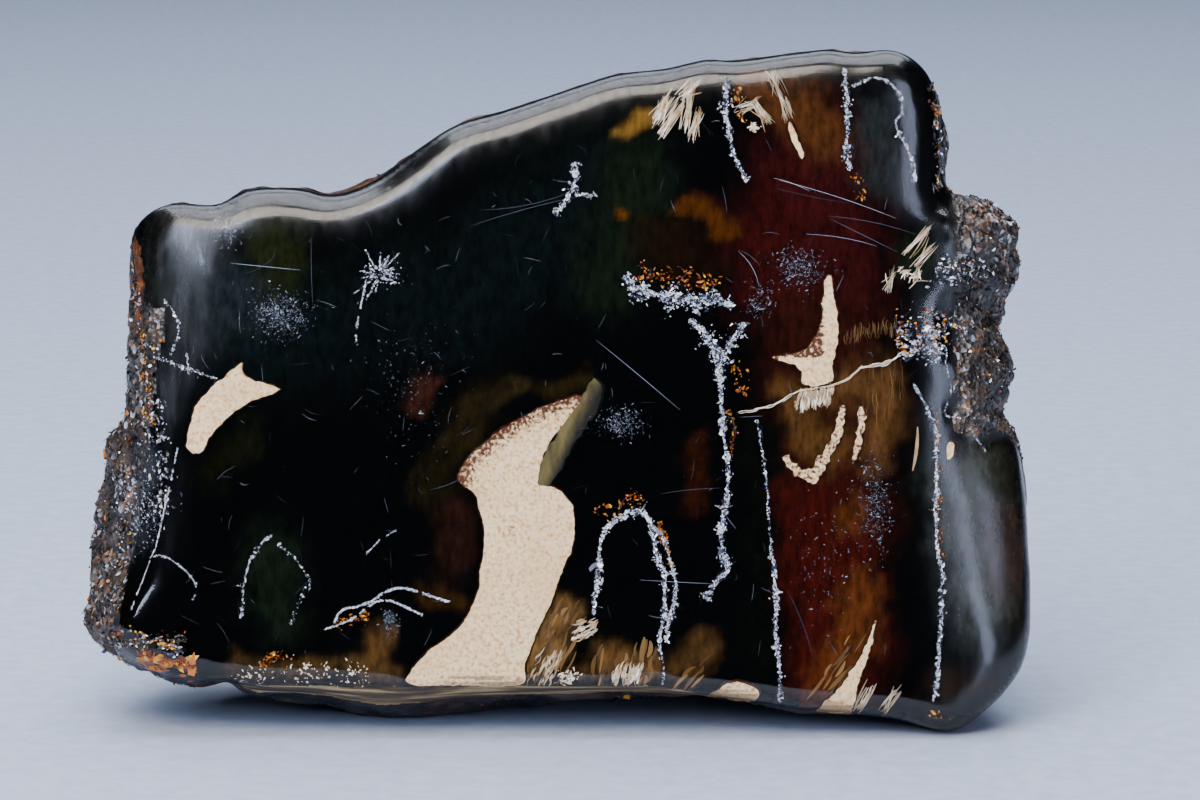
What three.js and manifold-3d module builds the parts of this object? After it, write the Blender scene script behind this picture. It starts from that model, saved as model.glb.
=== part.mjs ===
// A raw lump of dark amber with one polished window, standing on a flat foot.
// Millimetres, +Z up. The window looks towards -Y and leans back. The origin is under the middle of the lump.

import * as THREE from 'three';
import { ImprovedNoise } from 'three/addons/math/ImprovedNoise.js';
import { mergeVertices } from 'three/addons/utils/BufferGeometryUtils.js';
import Module from 'manifold-3d';

// Driving dimensions
const LEAN = THREE.MathUtils.degToRad(10); // the window leans back this far from upright
const THICKNESS = 34; // from the window to the back, half way up, before fractures took their bites
const THINNER_UP = 0.1; // thickness lost per mm of height
const THINNER_LEFT = 0.12; // thickness lost per mm towards the left end
const DOME = { fall: 0.5, reach: 45 }; // a hand-polished window falls away this much from its middle outwards
const FLOOR_V = -0.2; // height on the window's own axes, at its front, of the surface that the lump stands on
const MIDDLE = { u: 2, v: 35 }; // centre of the window and of the back, on the window's own axes

// Relief of the unpolished skin
const LUMP = { height: 2.6, size: 13 };
const RIPPLE = { height: 1.5, size: 6 };
const BITE_RIPPLE = { height: 0.9, size: 8 };
const RIM_RELIEF = 0.4; // a broken rim has this share of the skin's relief
const RELIEF_RINGS = 5; // behind the rim the relief grows to its full height over this many rings
const FORGET = { stations: 6, rings: 6 }; // behind the rim the outline's small steps even out over this much
const INWARD_REACH = 3.5; // stations each way that set the direction from the outline in to the window

// How finely the skin is divided
const STEPS_PER_STATION = 2;
const WINDOW_RINGS = 3;
const RIM_RINGS = 4;
const BACK_RINGS = 16;
const CLOSING = 2; // over 1 sets the first back rings closer together than the last
const HALVED_FROM = [8, 12]; // back rings from which only half, then a quarter, of the points are kept
const BITE_DETAIL = 15;
const FULLNESS = { side: 0.45, foot: 0.1, depth: 0.75 }; // under 1 makes the back boxy instead of round

// The lump's outline seen square on to the window, clockwise from its top left corner. Each station is
// [u across, v up, inset, deep, round]: inset is the distance from the outline in to the flat of the window,
// deep is how far behind the window the outline lies, and round is 1 for a polished rim, 0 for a broken one.
const OUTLINE = [
  // polished top edge, with the flakes that stand up along it
  [-43.2, 51.6, 4.0, 3.5, 0.9], [-41.1, 53.5, 3.6, 3.2, 1], [-38.2, 54.2, 3.2, 3.2, 1],
  [-35.4, 53.6, 3.0, 3.2, 1], [-33.7, 54.1, 3.4, 3.4, 1], [-32.1, 55.3, 3.6, 3.6, 1],
  [-28.6, 55.6, 3.6, 3.6, 1], [-25.4, 55.4, 3.2, 3.4, 1], [-24.0, 54.5, 2.6, 3.0, 1],
  [-21.0, 55.0, 2.4, 3.0, 1], [-18.5, 56.2, 2.6, 3.0, 1], [-16.0, 58.1, 2.8, 3.2, 1],
  [-13.0, 60.4, 2.8, 3.2, 1], [-10.5, 62.0, 2.8, 3.2, 1], [-6.5, 63.0, 2.6, 3.2, 1],
  [-2.0, 64.5, 2.4, 3.2, 1], [2.0, 65.9, 2.2, 3.2, 1], [6.5, 67.2, 2.0, 3.0, 1],
  [10.5, 67.4, 1.9, 3.0, 1], [14.6, 68.5, 2.0, 3.0, 1], [17.2, 68.2, 1.9, 3.0, 1],
  [21.6, 68.8, 1.9, 3.0, 1], [25.6, 69.3, 2.0, 3.0, 1], [28.0, 69.5, 2.2, 3.0, 1],
  [28.8, 68.9, 2.2, 3.0, 1], [31.6, 69.4, 2.8, 3.0, 1],
  // polished shoulder at the top right
  [34.0, 69.5, 3.6, 3.0, 1], [36.0, 68.4, 4.2, 3.0, 1], [37.7, 66.1, 5.0, 3.0, 1],
  [38.4, 62.6, 5.4, 3.0, 1], [38.7, 58.1, 5.4, 3.2, 0.9], [39.3, 54.4, 4.0, 4.0, 0.6],
  // crusted knob and shoulder on the right
  [42.4, 54.2, 3.2, 9, 0.2], [45.3, 52.8, 4.8, 10, 0.1], [46.4, 50.8, 5.6, 10, 0.1],
  [46.5, 47.7, 6.4, 10, 0.1], [45.7, 45.0, 6.8, 10, 0.1], [44.1, 42.4, 6.4, 10, 0.1],
  [45.2, 39.6, 6.8, 9, 0.2], [46.2, 36.0, 7.2, 9, 0.3], [45.2, 33.5, 7.2, 8, 0.4],
  [46.1, 31.0, 8.0, 7, 0.6], [46.8, 27.5, 9.0, 6, 0.8],
  // polished right end, curving away
  [47.2, 23.5, 10, 5, 1], [47.6, 18.0, 10, 4.6, 1], [47.7, 12.0, 9, 4.2, 1],
  [47.3, 8.0, 8, 3.8, 1], [45.4, 4.7, 5, 3.2, 0.9], [42.6, 2.1, 3, 2.6, 0.7],
  [39.6, 0.15, 1.6, 2.4, 0.4], [37.0, 0.8, 1.2, 2, 0.3],
  // underside, sloping back and down to the foot
  [34.0, 1.7, 1.0, 3, 0.2], [29.0, 2.2, 0.8, 4, 0.2], [23.0, 2.6, 0.8, 6, 0.1],
  [18.5, 3.3, 0.8, 8, 0.1], [14.0, 3.7, 1.0, 10, 0.1], [8.0, 3.5, 1.6, 12, 0],
  [0, 2.9, 2.2, 12, 0], [-9.0, 2.0, 3.2, 11, 0], [-17.5, 1.3, 3.4, 10, 0],
  [-25.0, 3.0, 2.4, 10, 0], [-32.3, 3.9, 2.0, 9, 0], [-33.4, 5.5, 0.9, 8, 0],
  [-36.4, 4.7, 1.4, 12, 0.3],
  // broken left end
  [-40.0, 5.5, 1.4, 9, 0.3], [-44.4, 7.5, 2.2, 6, 0.2], [-47.6, 9.2, 4.4, 7, 0.1],
  [-48.5, 12.2, 6.0, 8, 0.1], [-47.9, 16.0, 7.0, 9, 0], [-48.1, 20.0, 7.4, 10, 0],
  [-47.2, 24.0, 6.8, 9, 0], [-46.4, 27.5, 6.2, 8, 0], [-46.3, 30.2, 5.2, 8, 0],
  [-44.4, 32.0, 3.2, 7, 0.1], [-43.9, 35.5, 2.3, 6, 0.1], [-43.8, 39.5, 2.0, 6, 0.2],
  [-43.5, 44.0, 1.8, 5, 0.3], [-43.6, 48.5, 2.6, 4.2, 0.6],
];

// Shell-shaped bites that fractures left in the skin. Each follows a ball, by its centre and radius.
const BITES = [
  { at: [-26, 50, 96], radius: 70 },
  { at: [26, 58, 86], radius: 58 },
  { at: [36, 19, 97], radius: 68 },
  { at: [-7, 13, 89], radius: 58 },
  { at: [-43, 19, 83], radius: 59 },
  { at: [6, 96, 33], radius: 32 },
  { at: [77, 12, 31], radius: 33 },
  { at: [-76, 43, 27], radius: 35 },
];

// Angular blocks of crust on the broken ends, in rows: the first and last place, how many, and their radius.
const CRUST_ROWS = [
  { from: [41.4, 51.8, 8.5], to: [43.2, 46.2, 9], count: 3, radius: 3.3 },
  { from: [42.4, 40, 8], to: [43.4, 32.5, 7.5], count: 3, radius: 2.9 },
  { from: [40.2, 51, 5.4], to: [40.4, 36, 4.8], count: 5, radius: 2 },
  { from: [-42, 46, 5], to: [-42, 34.5, 5.4], count: 5, radius: 1.9 },
  { from: [-43.4, 29, 6.8], to: [-45.6, 11.5, 8], count: 7, radius: 2.2 },
  { from: [-37, 8, 8.5], to: [-42.4, 9.4, 6.2], count: 3, radius: 2.4 },
];

// How blocks differ from each other: turn in radians, shift, and the size of the noise that sets both.
const BLOCK = { turn: 9, shift: { u: 0.8, w: 2 }, size: 2.6, squash: [1, 0.75, 0.9] };

const wasm = await Module();
wasm.setup();
const perlin = new ImprovedNoise();

// From the window's own axes (u across, v up along it, w behind it) to the lump's frame.
const SIN = Math.sin(LEAN);
const COS = Math.cos(LEAN);
function place(u, v, w) {
  return new THREE.Vector3(u, v * SIN + w * COS, (v - FLOOR_V) * COS - w * SIN);
}

// Smooth noise from -1 to 1 whose swells are about as wide as the size given.
const NOISE_START = { u: 17.3, v: 5.1, w: 9.7 };
function noise(u, v, w, size) {
  return perlin.noise(u / size + NOISE_START.u, v / size + NOISE_START.v, w / size + NOISE_START.w);
}

// A rough skin's height at a place: broad lumps and, on top of them, sharper ripples.
function relief(u, v, w) {
  const ripple = 1 - 2 * Math.abs(noise(u, v, w, RIPPLE.size));
  return LUMP.height * noise(u, v, w, LUMP.size) + RIPPLE.height * (ripple - 0.5);
}

function thickness(u, v) {
  return THICKNESS - THINNER_UP * (v - MIDDLE.v) - THINNER_LEFT * Math.max(0, -u);
}

function domed(u, v) {
  const outwards = Math.hypot(u - MIDDLE.u, v - MIDDLE.v) / DOME.reach;
  return DOME.fall * outwards ** 2;
}

// The outline's stations joined by smooth curves: one through the places, one through the rims' shapes.
function stations() {
  const path = new THREE.CatmullRomCurve3(OUTLINE.map(([u, v]) => new THREE.Vector3(u, v, 0)), true);
  const rims = new THREE.CatmullRomCurve3(OUTLINE.map(([, , ...rim]) => new THREE.Vector3(...rim)), true);
  const count = OUTLINE.length * STEPS_PER_STATION;
  const reach = INWARD_REACH / OUTLINE.length;
  const spread = FORGET.stations * STEPS_PER_STATION;
  const spots = Array.from({ length: count }, (_, i) => path.getPoint(i / count));
  return spots.map(({ x: u, y: v }, i) => {
    const t = i / count;
    const rim = rims.getPoint(t);
    const along = path.getPoint((t + reach) % 1).sub(path.getPoint((t - reach + 1) % 1)).normalize();
    const even = new THREE.Vector3();
    for (let k = -spread; k <= spread; k++) {
      even.add(spots[(i + k + count) % count]);
    }
    even.divideScalar(2 * spread + 1);
    return { u, v, even, inward: [along.y, -along.x], inset: rim.x, deep: rim.y, round: rim.z };
  });
}

// The rings of points that wrap the lump, from the window's middle over its rim to the middle of the back.
function rings(around) {
  const made = [];
  const edge = around.map((s) => ({ u: s.u + s.inward[0] * s.inset, v: s.v + s.inward[1] * s.inset }));
  for (let j = 1; j <= WINDOW_RINGS; j++) {
    const share = j / WINDOW_RINGS;
    made.push(edge.map((e) => {
      const u = THREE.MathUtils.lerp(MIDDLE.u, e.u, share);
      const v = THREE.MathUtils.lerp(MIDDLE.v, e.v, share);
      return [u, v, domed(u, v)];
    }));
  }
  for (let j = 1; j <= RIM_RINGS; j++) {
    const share = j / RIM_RINGS;
    made.push(around.map((s, i) => {
      const out = THREE.MathUtils.lerp(share, Math.sin(share * Math.PI / 2), s.round);
      const back = THREE.MathUtils.lerp(share, 1 - Math.cos(share * Math.PI / 2), s.round);
      const u = THREE.MathUtils.lerp(edge[i].u, s.u, out);
      const v = THREE.MathUtils.lerp(edge[i].v, s.v, out);
      const rough = RIM_RELIEF * (1 - s.round) * Math.sin(share * Math.PI);
      return [u, v, domed(edge[i].u, edge[i].v) * (1 - share) + s.deep * back - rough * relief(u, v, 0)];
    }));
  }
  for (let j = 1; j < BACK_RINGS; j++) {
    const keep = 2 ** HALVED_FROM.filter((from) => j >= from).length;
    const width = 1 - (j / BACK_RINGS) ** CLOSING;
    const forgotten = Math.min(1, j / FORGET.rings);
    made.push(around.filter((_, i) => i % keep === 0).map((s) => {
      const du = THREE.MathUtils.lerp(s.u, s.even.x, forgotten) - MIDDLE.u;
      const dv = THREE.MathUtils.lerp(s.v, s.even.y, forgotten) - MIDDLE.v;
      const downward = Math.max(0, -dv / Math.hypot(du, dv));
      const fullness = THREE.MathUtils.lerp(FULLNESS.side, FULLNESS.foot, downward ** 2);
      const turn = Math.acos(width ** (1 / fullness));
      const [u, v] = [MIDDLE.u + du * width, MIDDLE.v + dv * width];
      const w = s.deep + (thickness(u, v) - s.deep) * Math.sin(turn) ** FULLNESS.depth;
      const height = relief(u, v, w) * Math.min(1, (j + 1) / RELIEF_RINGS);
      const side = height * Math.cos(turn) / Math.hypot(du, dv);
      return [u + du * side, v + dv * side, w + height * Math.sin(turn)];
    }));
  }
  return made;
}

// Triangles between one ring and the next one back, which has as many points or half as many.
function band(front, back) {
  const each = front.count / back.count;
  const faces = [];
  for (let i = 0; i < back.count; i++) {
    const near = (step) => front.start + ((i * each + step) % front.count);
    const far = [back.start + i, back.start + ((i + 1) % back.count)];
    for (let step = 0; step < each; step++) {
      faces.push(near(step), near(step + 1), far[Math.round(step / each)]);
    }
    faces.push(near(Math.ceil(each / 2)), far[1], far[0]);
  }
  return faces;
}

// Triangles from a ring to a single point, on the window's side or on the back's.
function fan(ring, tip, atBack) {
  const faces = [];
  for (let i = 0; i < ring.count; i++) {
    const pair = [ring.start + i, ring.start + ((i + 1) % ring.count)];
    faces.push(tip, ...(atBack ? pair : pair.reverse()));
  }
  return faces;
}

// The rings as one closed mesh, with a fan of triangles at the window's middle and at the back's.
function lumpGeometry() {
  const points = [];
  const loops = rings(stations()).map((ring) => {
    const start = points.length;
    points.push(...ring.map((p) => place(...p)));
    return { start, count: ring.length };
  });
  const front = points.push(place(MIDDLE.u, MIDDLE.v, 0)) - 1;
  const deepest = thickness(MIDDLE.u, MIDDLE.v);
  const back = points.push(place(MIDDLE.u, MIDDLE.v, deepest + relief(MIDDLE.u, MIDDLE.v, deepest))) - 1;
  const faces = fan(loops[0], front, false);
  for (let j = 1; j < loops.length; j++) {
    faces.push(...band(loops[j - 1], loops[j]));
  }
  faces.push(...fan(loops.at(-1), back, true));
  return new THREE.BufferGeometry().setFromPoints(points).setIndex(faces);
}

// A three.js geometry as a solid that can be joined and cut.
function solid(geometry) {
  const bare = geometry.clone();
  bare.deleteAttribute('normal');
  bare.deleteAttribute('uv');
  const merged = mergeVertices(bare, 1e-4);
  return new wasm.Manifold(new wasm.Mesh({
    numProp: 3,
    vertProperties: merged.attributes.position.array,
    triVerts: new Uint32Array(merged.index.array),
  }));
}

function geometryOf(made) {
  const mesh = made.getMesh();
  return new THREE.BufferGeometry()
    .setAttribute('position', new THREE.BufferAttribute(mesh.vertProperties, 3))
    .setIndex(new THREE.BufferAttribute(mesh.triVerts, 1));
}

// The ball that a bite follows, rippled as fractures are.
function bite({ at, radius }) {
  const ball = new THREE.IcosahedronGeometry(radius, BITE_DETAIL).translate(...place(...at));
  const spots = ball.attributes.position;
  const spot = new THREE.Vector3();
  const outward = new THREE.Vector3();
  for (let i = 0; i < spots.count; i++) {
    spot.fromBufferAttribute(spots, i);
    outward.subVectors(spot, place(...at)).normalize();
    spot.addScaledVector(outward, BITE_RIPPLE.height * noise(...spot, BITE_RIPPLE.size));
    spots.setXYZ(i, ...spot);
  }
  return ball;
}

// One block of crust: a twelve-sided pebble, turned and squashed in a way that depends on its place.
function crustBlock(u, v, w, radius) {
  const turns = [[u, v, w], [v, w, u], [w, u, v]].map((at) => BLOCK.turn * noise(...at, BLOCK.size));
  const turn = new THREE.Euler(...turns);
  const block = new THREE.DodecahedronGeometry(radius, 0).scale(...BLOCK.squash);
  return block.applyMatrix4(new THREE.Matrix4().makeRotationFromEuler(turn)).translate(...place(u, v, w));
}

function crustRow({ from, to, count, radius }) {
  return Array.from({ length: count }, (_, i) => {
    const [u, v, w] = from.map((start, axis) => THREE.MathUtils.lerp(start, to[axis], i / (count - 1)));
    const [across, behind] = [noise(u, v, w, BLOCK.size), noise(v, w, u, BLOCK.size)];
    return crustBlock(u + BLOCK.shift.u * across, v, w + BLOCK.shift.w * behind, radius);
  });
}

// What lies under the surface that the lump stands on is cut away, which leaves its flat foot.
function belowFloor() {
  const size = 200;
  return new THREE.BoxGeometry(size, size, size).translate(0, 0, -size / 2);
}

function amberGeometry() {
  let lump = solid(lumpGeometry());
  for (const hollow of BITES) {
    lump = lump.subtract(solid(bite(hollow)));
  }
  for (const block of CRUST_ROWS.flatMap(crustRow)) {
    lump = lump.add(solid(block));
  }
  const geometry = geometryOf(lump.subtract(solid(belowFloor())));
  geometry.computeBoundingBox();
  const centre = geometry.boundingBox.getCenter(new THREE.Vector3());
  return geometry.translate(-centre.x, -centre.y, -geometry.boundingBox.min.z);
}

const amberMaterial = new THREE.MeshStandardMaterial({ color: 0x1d1210, roughness: 0.15, metalness: 0 });
const amber = new THREE.Mesh(amberGeometry(), amberMaterial);
amber.name = 'amber';

const part = new THREE.Group();
part.add(amber);

export default part;
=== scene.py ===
# %% [markdown]
# # A piece of raw amber with a polished window
#
# The real object is a lump of dark fossil resin. One side is ground flat and
# polished, so that the eye looks into the resin. Cream-coloured clouds, silver
# cracks and golden fibres lie in it. Its ends keep their crust, and its back is
# broken resin.
#
# The scene builds the lump from the CAD solid, then sets closed bodies into it.
# The resin absorbs light on its way in and out again, so what lies under the
# surface looks warmer and darker than the same thing at the surface.

# %% Load the frame
import math

import bpy
import numpy as np
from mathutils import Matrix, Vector, geometry, kdtree, noise
from mathutils.bvhtree import BVHTree


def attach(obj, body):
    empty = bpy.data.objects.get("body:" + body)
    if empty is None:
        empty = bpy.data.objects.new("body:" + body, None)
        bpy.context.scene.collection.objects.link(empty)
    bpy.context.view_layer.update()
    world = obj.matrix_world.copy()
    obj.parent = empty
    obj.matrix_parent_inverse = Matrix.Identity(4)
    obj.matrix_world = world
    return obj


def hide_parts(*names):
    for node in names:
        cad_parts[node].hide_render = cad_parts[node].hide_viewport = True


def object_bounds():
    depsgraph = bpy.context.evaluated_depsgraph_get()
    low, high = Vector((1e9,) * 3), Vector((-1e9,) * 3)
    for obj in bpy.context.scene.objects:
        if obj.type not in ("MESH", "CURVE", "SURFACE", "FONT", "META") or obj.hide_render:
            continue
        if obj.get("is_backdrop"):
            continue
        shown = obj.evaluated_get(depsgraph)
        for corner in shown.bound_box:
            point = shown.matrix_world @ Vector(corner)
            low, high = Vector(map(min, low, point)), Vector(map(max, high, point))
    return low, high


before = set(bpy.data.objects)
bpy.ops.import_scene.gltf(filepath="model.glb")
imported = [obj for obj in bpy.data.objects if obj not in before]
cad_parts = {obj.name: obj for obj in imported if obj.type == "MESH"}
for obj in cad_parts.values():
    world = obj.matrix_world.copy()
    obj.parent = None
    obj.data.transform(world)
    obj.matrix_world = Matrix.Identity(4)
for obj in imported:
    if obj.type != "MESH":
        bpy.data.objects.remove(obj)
cad_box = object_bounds()
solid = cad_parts["amber"]
chance = np.random.default_rng(11)
MM = 0.001
print("CAD box in mm:", [[round(c / MM, 1) for c in corner] for corner in cad_box])

# %% [markdown]
# ## The window's own axes
#
# The marks on the window are easier to place on the window itself: u runs across
# it, v up along it and w straight into the resin, all in millimetres. The window
# leans back, so two short functions turn these into the frame's axes and back.

# %% Axes of the window
LEAN = math.radians(10)
COS, SIN = math.cos(LEAN), math.sin(LEAN)
FLOOR_V = -0.2
RIGHT_END_U = 47.71
DOME = {"u": 2.0, "v": 35.0, "fall": 0.5, "reach": 45.0}
INTO = Vector((0, COS, -SIN))

corners = np.array([v.co for v in solid.data.vertices]) / MM
FRONT = -(corners[:, 1] * COS - corners[:, 2] * SIN).min()
SHIFT = corners[:, 0].max() - RIGHT_END_U


def to_window(points):
    """Frame points in mm, as rows of x, y, z, turned into rows of u, v, w."""
    w = points[:, 1] * COS - points[:, 2] * SIN + FRONT
    v = (points[:, 2] + w * SIN) / COS + FLOOR_V
    return np.stack([points[:, 0] - SHIFT, v, w], axis=1)


def to_frame(window):
    """Rows of u, v, w turned back into frame points in mm."""
    window = np.asarray(window, dtype=float)
    z = (window[:, 1] - FLOOR_V) * COS - window[:, 2] * SIN
    y = (window[:, 2] - FRONT + z * SIN) / COS
    return np.stack([window[:, 0] + SHIFT, y, z], axis=1)


def dome(u, v):
    """How far the polished window has fallen back at u, v."""
    far = np.hypot(u - DOME["u"], v - DOME["v"]) / DOME["reach"]
    return DOME["fall"] * far ** 2


print("window front at", round(float(FRONT), 2), "mm, shift", round(float(SHIFT), 2), "mm")

# %% [markdown]
# ## Colours and nodes
#
# Colours are written as the hex values that a colour picker shows. Blender works
# with linear light, so one function converts them. A second one adds a shader
# node, sets its values and links its sockets.

# %% Helpers for materials


def linear(code):
    """A hex sRGB colour as linear RGBA."""
    parts = [int(code[i:i + 2], 16) / 255 for i in (1, 3, 5)]
    return [p / 12.92 if p <= 0.04045 else ((p + 0.055) / 1.055) ** 2.4 for p in parts] + [1]


def add(tree, kind, inputs=None, **settings):
    """Adds a node, applies its settings, and links or sets each input."""
    node = tree.nodes.new(kind)
    for key, value in settings.items():
        setattr(node, key, value)
    for socket, value in (inputs or {}).items():
        if isinstance(value, bpy.types.NodeSocket):
            tree.links.new(value, node.inputs[socket])
        else:
            node.inputs[socket].default_value = value
    return node


def finish(name, **inputs):
    """A new material with a Principled shader; returns material, tree and shader."""
    material = bpy.data.materials.new(name)
    material.use_nodes = True
    tree = material.node_tree
    shader = tree.nodes["Principled BSDF"]
    for socket, value in inputs.items():
        shader.inputs[socket.replace("_", " ")].default_value = value
    return material, tree, shader


def speckle(tree, size, detail=4.0, stretch=(1, 1, 1)):
    """Noise whose blobs are about size mm wide, from the object's own metres."""
    where = add(tree, "ShaderNodeTexCoord").outputs["Object"]
    scaled = add(tree, "ShaderNodeMapping", {"Vector": where, "Scale": stretch})
    return add(tree, "ShaderNodeTexNoise", {
        "Vector": scaled.outputs["Vector"], "Scale": 0.5 / (size * MM),
        "Detail": detail, "Roughness": 0.6}).outputs["Fac"]


def ramp(tree, source, *stops):
    """Colours by a value: each stop is a place from 0 to 1 and a hex colour."""
    node = add(tree, "ShaderNodeValToRGB", {"Fac": source})
    elements = node.color_ramp.elements
    while len(elements) < len(stops):
        elements.new(0.5)
    for element, (place, code) in zip(elements, stops):
        element.position = place
        element.color = linear(code)
    return node.outputs["Color"]


def blend(tree, factor, first, second):
    """A mix of two colours, each a socket or a linear colour."""
    return add(tree, "ShaderNodeMix", {0: factor, 6: first, 7: second},
               data_type="RGBA").outputs[2]


def rescale(tree, value, low, high, to_low=0.0, to_high=1.0):
    """A value brought from one range to another."""
    return add(tree, "ShaderNodeMapRange", {
        "Value": value, "From Min": low, "From Max": high,
        "To Min": to_low, "To Max": to_high}).outputs["Result"]


def relief(tree, shader, height, distance):
    """Bump with a height in mm, from a value, on a shader."""
    bump = add(tree, "ShaderNodeBump", {"Height": height, "Distance": distance * MM})
    tree.links.new(bump.outputs["Normal"], shader.inputs["Normal"])


def mark(tree, name):
    """A number that the mesh carries at each point."""
    return add(tree, "ShaderNodeAttribute", attribute_name=name).outputs["Fac"]


# %% [markdown]
# ## The finishes
#
# Clear amber is a plain transmitting shader with the refractive index of resin.
# Its volume swallows blue fastest, then green, then red, which is what makes
# thin amber yellow and thick amber dark red. Where the lump was never polished,
# the skin is browner and duller, which the mesh says with a number called rind.

# %% Clear amber
AMBER_LOSS = (0.085, 0.29, 0.70)

amber, tree, shader = finish(
    "polished clear amber", Transmission_Weight=1.0, IOR=1.54)
rind = mark(tree, "rind")
tree.links.new(blend(tree, rind, linear("#fff8ee"), linear("#1c0b05")), shader.inputs["Base Color"])
streaks = speckle(tree, 0.5, stretch=(1, 1, 0.06))
worn = add(tree, "ShaderNodeMath", {0: mark(tree, "wear"), 1: streaks}, operation="MULTIPLY")
polish = rescale(tree, worn.outputs["Value"], 0.0, 1.0, 0.045, 0.55)
dull = add(tree, "ShaderNodeMath", {0: rind, 1: 0.5, 2: polish}, operation="MULTIPLY_ADD")
tree.links.new(dull.outputs["Value"], shader.inputs["Roughness"])
absorb = add(tree, "ShaderNodeVolumeAbsorption", {
    "Color": [1 - loss / max(AMBER_LOSS) for loss in AMBER_LOSS] + [1],
    "Density": max(AMBER_LOSS) / MM})
tree.links.new(absorb.outputs["Volume"], tree.nodes["Material Output"].inputs["Volume"])

# %% Crust, cream and the crack fillings
GRAIN = 0.5

crust, tree, shader = finish("weathered crust", Roughness=0.42)
where = add(tree, "ShaderNodeTexCoord").outputs["Object"]
grain = add(tree, "ShaderNodeTexVoronoi", {"Vector": where, "Scale": 1 / (GRAIN * MM)})
shade = add(tree, "ShaderNodeSeparateColor", {"Color": grain.outputs["Color"]}).outputs["Red"]
grains = ramp(tree, shade, (0.0, "#060505"), (0.4, "#1b1613"), (0.6, "#453a31"), (0.76, "#6d6259"),
              (0.86, "#8a5220"), (0.95, "#aeb2b8"))
dark = ramp(tree, speckle(tree, 1.6, detail=8), (0.34, "#080606"), (0.5, "#1f1711"), (0.66, "#4a3a2c"))
amount = rescale(tree, speckle(tree, 2.4, detail=5), 0.46, 0.60)
tree.links.new(blend(tree, amount, dark, grains), shader.inputs["Base Color"])
relief(tree, shader, grain.outputs["Distance"], 0.25)

broken, tree, shader = finish("broken dark resin")
skin_tone = ramp(tree, speckle(tree, 5.0, detail=6), (0.34, "#070303"), (0.48, "#1d0d07"),
                 (0.58, "#3a1d0d"), (0.70, "#6a4420"))
rime = rescale(tree, speckle(tree, 2.2, detail=8), 0.54, 0.66, 0.0, 0.8)
tree.links.new(blend(tree, rime, skin_tone, linear("#5c5147")), shader.inputs["Base Color"])
dullness = rescale(tree, speckle(tree, 2.2, detail=8), 0.42, 0.62, 0.16, 0.6)
tree.links.new(dullness, shader.inputs["Roughness"])
relief(tree, shader, speckle(tree, 0.6, detail=6), 0.12)

bark, tree, shader = finish("brown underside", Roughness=0.35)
tree.links.new(ramp(tree, speckle(tree, 0.45, stretch=(0.09, 1, 1)), (0.36, "#1a1008"), (0.5, "#5a4222"),
                    (0.64, "#b79c6c")), shader.inputs["Base Color"])

cream, tree, shader = finish("cream amber", Roughness=0.3)
pores = ramp(tree, speckle(tree, 0.18, detail=6), (0.36, "#c4905a"), (0.47, "#e6c390"),
             (0.62, "#f2d7aa"))
# Brown where the number is high: real dust along the main cloud's border, and painted shade on the sunken
# sides of every cloud.
dust = add(tree, "ShaderNodeMath", {
    0: mark(tree, "stain_and_painted_light"), 1: 0.5, 2: speckle(tree, 0.16, detail=5)}, operation="MULTIPLY_ADD")
amount = rescale(tree, dust.outputs["Value"], 0.70, 0.86)
patches = rescale(tree, speckle(tree, 5.0), 0.45, 0.7, 0.0, 0.55)
mellow = blend(tree, patches, pores, linear("#cfa268"))
tree.links.new(blend(tree, amount, mellow, linear("#4c2715")), shader.inputs["Base Color"])
relief(tree, shader, speckle(tree, 0.3), 0.03)

ivory, tree, shader = finish("ivory fibre", Roughness=0.4)
tree.links.new(ramp(tree, speckle(tree, 0.4), (0.35, "#d8b888"), (0.55, "#f7ecd6")),
               shader.inputs["Base Color"])

golden, tree, shader = finish("golden fibre", Roughness=0.5)
tree.links.new(ramp(tree, mark(tree, "stain_and_painted_light"), (0.0, "#57401f"), (0.6, "#87693a"), (1.0, "#bfa06a")),
               shader.inputs["Base Color"])

# Painted glints and painted shade: a shard's number picks its colour from near-black, as shade, to
# near-white, as a glint, on the cracks and the grey crust grains.
silver, tree, shader = finish("silvery cracks and grains with painted glints", Roughness=0.22, Metallic=0.25)
tree.links.new(ramp(tree, mark(tree, "stain_and_painted_light"), (0.0, "#060a18"), (0.3, "#2c3650"), (0.6, "#b4bccd"),
                    (0.85, "#fbfbff")), shader.inputs["Base Color"])

ochre, tree, shader = finish("ochre crystal", Roughness=0.22)
tree.links.new(ramp(tree, mark(tree, "stain_and_painted_light"), (0.0, "#2a0f05"), (0.4, "#8a3c0a"), (0.7, "#c9781a"),
                    (1.0, "#f6c64e")), shader.inputs["Base Color"])

soot, tree, shader = finish("black crust grain", Roughness=0.28)
tree.links.new(ramp(tree, mark(tree, "stain_and_painted_light"), (0.0, "#030303"), (0.6, "#1c1815"), (1.0, "#4a4038")),
               shader.inputs["Base Color"])

scuff, tree, shader = finish("scratch in the polish", Roughness=0.45)
tree.links.new(ramp(tree, mark(tree, "stain_and_painted_light"), (0.0, "#151a22"), (0.6, "#4a5464"), (1.0, "#a2aebf")),
               shader.inputs["Base Color"])
print("materials:", len(bpy.data.materials))

# %% [markdown]
# ## The lump
#
# The CAD solid has the lump's shape in flat facets. A copy is rebuilt as an even
# half-millimetre skin and smoothed where it was polished, which rounds the facets
# off. The window is put back on its exact gentle curve and rolls off a little
# towards its edge, as a polishing wheel leaves it. The rest is roughened.

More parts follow.
